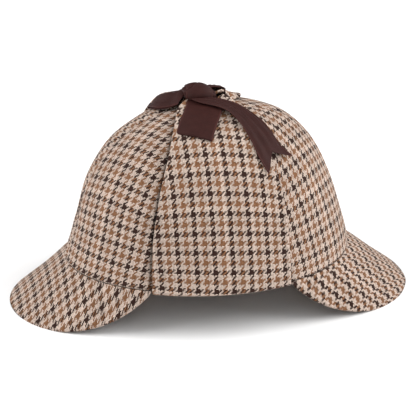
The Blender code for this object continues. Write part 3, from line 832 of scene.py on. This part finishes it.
def tweed_weave():
    """A twill of two over two under, in stripes of cream, brown, cream and tan both ways.

    The visible thread at a point is the warp where (across - along) threads, modulo 4,
    is under 2, and otherwise the weft. The weft fills only a share of its own pitch, and
    the warp shows beside it. The thread's stripe gives the colour, and its own round
    section and the arch of its float give the height. The height also darkens the colour
    in the hollows between threads and lightens it on their tops, as painted shade. The
    attribute shade darkens it with the painted shade in front of the ear flap's fold.
    """
    tree, given, result = new_group("Checked tweed", {"Wobble": WOBBLE})
    place = add(tree, "UVMap", uv_map="cloth").outputs[0]
    drift = add(tree, "TexNoise", (place, None, DRIFT_SCALE, 2.0)).outputs["Color"]
    drift = add(tree, "SeparateColor", (drift,))
    cell = add(tree, "SeparateXYZ", (place,))
    at = []
    for axis, thread_width in ((0, WARP_THREAD), (1, WEFT_THREAD)):
        wander = maths(tree, "SUBTRACT", drift.outputs[axis], 0.5)
        wander = maths(tree, "MULTIPLY", wander, given.outputs["Wobble"])
        wander = maths(tree, "MULTIPLY", wander, WOBBLE_THREADS)
        at.append(maths(tree, "ADD", maths(tree, "DIVIDE", cell.outputs[axis], thread_width), wander))
    warp, weft = (maths(tree, "FLOOR", value) for value in at)
    step = maths(tree, "FLOORED_MODULO", maths(tree, "SUBTRACT", warp, weft), 4.0)
    off_middle = maths(tree, "ABSOLUTE", maths(tree, "SUBTRACT", maths(tree, "FRACT", at[1]), 0.5))
    warp_up = maths(tree, "MAXIMUM", maths(tree, "LESS_THAN", step, 1.5),
                    maths(tree, "GREATER_THAN", off_middle, WEFT_COVER / 2))
    weft_up = maths(tree, "SUBTRACT", 1.0, warp_up)
    thread = maths(tree, "ADD", maths(tree, "MULTIPLY", warp, warp_up),
                   maths(tree, "MULTIPLY", weft, weft_up))
    stripe = maths(tree, "FLOOR", maths(tree, "DIVIDE", thread, float(STRIPE)))
    stripe = maths(tree, "FLOORED_MODULO", stripe, 4.0)
    colour = blend(tree, maths(tree, "COMPARE", stripe, 1.0, 0.4), (*CREAM, 1.0), (*BROWN, 1.0))
    colour = blend(tree, maths(tree, "COMPARE", stripe, 3.0, 0.4), colour, (*TAN, 1.0))
    # Round section of the thread, and the arch of its float over two others
    sections = []
    for value, up in ((at[0], warp_up), (at[1], weft_up)):
        middle = maths(tree, "SUBTRACT", maths(tree, "FRACT", value), 0.5)
        round_off = maths(tree, "MULTIPLY", maths(tree, "MULTIPLY", middle, middle), 4.0)
        sections.append(maths(tree, "MULTIPLY", maths(tree, "SUBTRACT", 1.0, round_off), up))
    section = maths(tree, "ADD", *sections)
    warp_float = maths(tree, "SUBTRACT", maths(tree, "ADD", warp, 1.0), at[1])
    weft_float = maths(tree, "SUBTRACT", at[0], maths(tree, "ADD", weft, 2.0))
    arches = []
    for value, up in ((warp_float, warp_up), (weft_float, weft_up)):
        turn = maths(tree, "MULTIPLY", maths(tree, "FLOORED_MODULO", value, 4.0), np.pi / 2)
        arches.append(maths(tree, "MULTIPLY", maths(tree, "ABSOLUTE", maths(tree, "SINE", turn)), up))
    arch = maths(tree, "ADD", *arches)
    height = maths(tree, "ADD", maths(tree, "MULTIPLY", section, 0.6), maths(tree, "MULTIPLY", arch, 0.4))
    # Wool is never even: every thread has its own tone, and its hairs have theirs
    own_number = maths(tree, "ADD", thread, maths(tree, "MULTIPLY", warp_up, 0.37))
    tone = add(tree, "TexWhiteNoise", (None, own_number), noise_dimensions="1D").outputs["Value"]
    hairs = add(tree, "TexNoise", (place, None, HAIR_SCALE, 3.0)).outputs[0]
    patches = add(tree, "TexNoise", (place, None, PATCH_SCALE, 2.0)).outputs[0]
    # Painted shade and light: darker in the hollows between threads, lighter on their tops
    bright = maths(tree, "ADD", PAINTED_HOLLOW_BRIGHT, maths(tree, "MULTIPLY", height, PAINTED_TOP_LIGHT))
    # The painted shade in front of the ear flap's fold, read from the attribute
    shade = add(tree, "Attribute", attribute_name="shade").outputs["Fac"]
    bright = maths(tree, "MULTIPLY", bright, shade)
    for value, kind in ((tone, "thread"), (hairs, "hair"), (patches, "patch")):
        change = maths(tree, "MULTIPLY", maths(tree, "SUBTRACT", value, 0.5), UNEVEN[kind])
        bright = maths(tree, "MULTIPLY", bright, maths(tree, "ADD", 1.0, change))
    scaled = add(tree, "VectorMath", (colour, None, None, bright), operation="SCALE").outputs[0]
    fuzzy = maths(tree, "ADD", height, maths(tree, "MULTIPLY", hairs, 0.5))
    tree.links.new(scaled, result.inputs["Color"])
    tree.links.new(fuzzy, result.inputs["Height"])
    return tree


def ribbon_weave():
    """Ribs across the ribbon, with painted shade between them and painted light on their crests, a
    selvedge along each edge, lighter partly as its own tone and partly as a painted highlight, and worn,
    paler patches.
    """
    tree, given, result = new_group("Ribbed ribbon", {"Wear": WEAR})
    place = add(tree, "UVMap", uv_map="cloth").outputs[0]
    cell = add(tree, "SeparateXYZ", (place,))
    ribs = maths(tree, "SINE", maths(tree, "MULTIPLY", cell.outputs[1], 2 * np.pi / RIB))
    threads = maths(tree, "SINE", maths(tree, "MULTIPLY", cell.outputs[0], 2 * np.pi / FINE_THREAD))
    edge = maths(tree, "SUBTRACT", RIBBON_WIDTH / 2, maths(tree, "ABSOLUTE", cell.outputs[0]))
    selvedge = maths(tree, "LESS_THAN", edge, SELVEDGE)
    patches = add(tree, "TexNoise", (place, None, WEAR_SCALE, 3.0)).outputs[0]
    worn = maths(tree, "MULTIPLY", maths(tree, "SUBTRACT", patches, 0.5), given.outputs["Wear"])
    bright = maths(tree, "ADD", 1.0, maths(tree, "MULTIPLY", worn, WEAR_BRIGHT))
    # Painted shade and light: the colour follows the ribs, lighter on their crests, darker between them
    bright = maths(tree, "ADD", bright, maths(tree, "MULTIPLY", ribs, RIB_PAINTED_SHADE))
    # The selvedge is painted lighter, partly its own tone and partly a painted highlight along the edges
    bright = maths(tree, "ADD", bright, maths(tree, "MULTIPLY", selvedge, SELVEDGE_TONE_AND_HIGHLIGHT))
    colour = add(tree, "VectorMath", ((*RIBBON_BROWN,), None, None, bright), operation="SCALE").outputs[0]
    height = maths(tree, "ADD", maths(tree, "MULTIPLY", ribs, 0.5), maths(tree, "MULTIPLY", threads, 0.12))
    height = maths(tree, "ADD", height, maths(tree, "MULTIPLY", selvedge, 0.7))
    tree.links.new(colour, result.inputs["Color"])
    tree.links.new(height, result.inputs["Height"])
    return tree


def finish_of(name, weave, roughness, sheen, bump_depth):
    """A material whose colour and relief come from a weave."""
    made = bpy.data.materials.new(name)
    made.use_nodes = True
    tree = made.node_tree
    shader = tree.nodes["Principled BSDF"]
    group = tree.nodes.new("ShaderNodeGroup")
    group.node_tree = weave
    bump = tree.nodes.new("ShaderNodeBump")
    bump.inputs["Strength"].default_value = BUMP_STRENGTH
    bump.inputs["Distance"].default_value = bump_depth
    tree.links.new(group.outputs["Color"], shader.inputs["Base Color"])
    tree.links.new(group.outputs["Height"], bump.inputs["Height"])
    tree.links.new(bump.outputs["Normal"], shader.inputs["Normal"])
    shader.inputs["Roughness"].default_value = roughness
    shader.inputs["Specular IOR Level"].default_value = GLOSS
    shader.inputs["Sheen Weight"].default_value = sheen
    shader.inputs["Sheen Roughness"].default_value = SHEEN_SPREAD
    return made


# Floor, light and camera

def studio():
    """A pale floor, a white surround, and large soft lights behind, in front of and beside the hat."""
    floor_mesh = bpy.data.meshes.new("floor")
    corners = [(-1, -1), (1, -1), (1, 1), (-1, 1)]
    corners = [(x * FLOOR_REACH, y * FLOOR_REACH, 0.0) for x, y in corners]
    floor_mesh.from_pydata(corners, [], [(0, 1, 2, 3)])
    floor = bpy.data.objects.new("floor", floor_mesh)
    bpy.context.collection.objects.link(floor)
    white = bpy.data.materials.new("floor_white")
    white.use_nodes = True
    shader = white.node_tree.nodes["Principled BSDF"]
    shader.inputs["Base Color"].default_value = (FLOOR_TONE, FLOOR_TONE, FLOOR_TONE, 1.0)
    shader.inputs["Roughness"].default_value = 0.9
    floor_mesh.materials.append(white)
    world = bpy.data.worlds.new("studio")
    world.use_nodes = True
    background = world.node_tree.nodes["Background"]
    background.inputs["Color"].default_value = (1.0, 1.0, 1.0, 1.0)
    background.inputs["Strength"].default_value = SURROUND
    bpy.context.scene.world = world
    for label, azimuth, elevation, distance, size, power in LIGHTS:
        light = bpy.data.lights.new(label, "AREA")
        light.shape = "DISK"
        light.size = size
        light.energy = power
        lamp = bpy.data.objects.new(label, light)
        bpy.context.collection.objects.link(lamp)
        aim(lamp, azimuth, elevation, distance)
    bpy.context.scene.view_settings.view_transform = "Standard"


def aim(thing, azimuth, elevation, distance):
    """Set a light or camera on a sphere round the hat's middle, looking at it."""
    a, e = np.radians(azimuth), np.radians(elevation)
    target = Vector((0.0, rim["middle"], VIEW_HEIGHT))
    away = Vector((np.sin(a) * np.cos(e), -np.cos(a) * np.cos(e), np.sin(e)))
    thing.location = target + away * distance
    thing.rotation_euler = (-away).to_track_quat("-Z", "Y").to_euler()


def photo_camera():
    """The camera that the photograph was taken with, as fitted to the hat's outline."""
    lens = bpy.data.cameras.new("camera")
    lens.lens = VIEW_LENS
    lens.sensor_width = 36.0
    lens.shift_x, lens.shift_y = VIEW_SHIFT
    camera = bpy.data.objects.new("camera", lens)
    bpy.context.collection.objects.link(camera)
    aim(camera, VIEW_AZIMUTH, VIEW_ELEVATION, VIEW_DISTANCE)
    bpy.context.scene.camera = camera


settle()
photo_camera()
studio()

tweed = finish_of("tweed", tweed_weave(), roughness=0.95, sheen=0.04, bump_depth=0.0004)
ribbon = finish_of("ribbon", ribbon_weave(), roughness=0.50, sheen=0.0, bump_depth=0.0002)

# Each panel's cloth is cut where it comes to lie, so each has its own shift in threads
PANELS = (
    # name, shift across, shift along
    ("front_left", 2.0, 3.0),
    ("side_left", 5.0, 1.0),
    ("back_left", 9.0, 6.0),
    ("back_right", 3.0, 11.0),
    ("side_right", 12.0, 4.0),
    ("front_right", 7.0, 8.0),
)
seams = seam_angles()
for number, (name, across, along) in enumerate(PANELS):
    crown_panel("crown_panel_" + name, seams[number], seams[number + 1], (across, along),
                11 + number, tweed)
peak("peak_front", FRONT_PEAK, 0.0, (3.0, 2.0), 21, tweed)
peak("peak_back", BACK_PEAK, 180.0, (6.0, 5.0), 22, tweed)
ear_flap("ear_flap_left", 1, (2.9, -1.5), 31, tweed)
ear_flap("ear_flap_right", -1, (10.0, 7.0), 32, tweed)

side, front, back = knot_faces()
ribbon_knot(ribbon)
ribbon_loop("ribbon_loop_left", NEAR_LOOP, side, 1, ribbon)
ribbon_loop("ribbon_loop_right", FAR_LOOP, front, -1, ribbon)
# The two tips of a tail lift off the cloth by different heights
ribbon_tail("ribbon_tail_left", NEAR_TAIL, back, 1, (0.0006, 0.0030), ribbon)
ribbon_tail("ribbon_tail_right", FAR_TAIL, side, -1, (0.0020, 0.0008), ribbon)
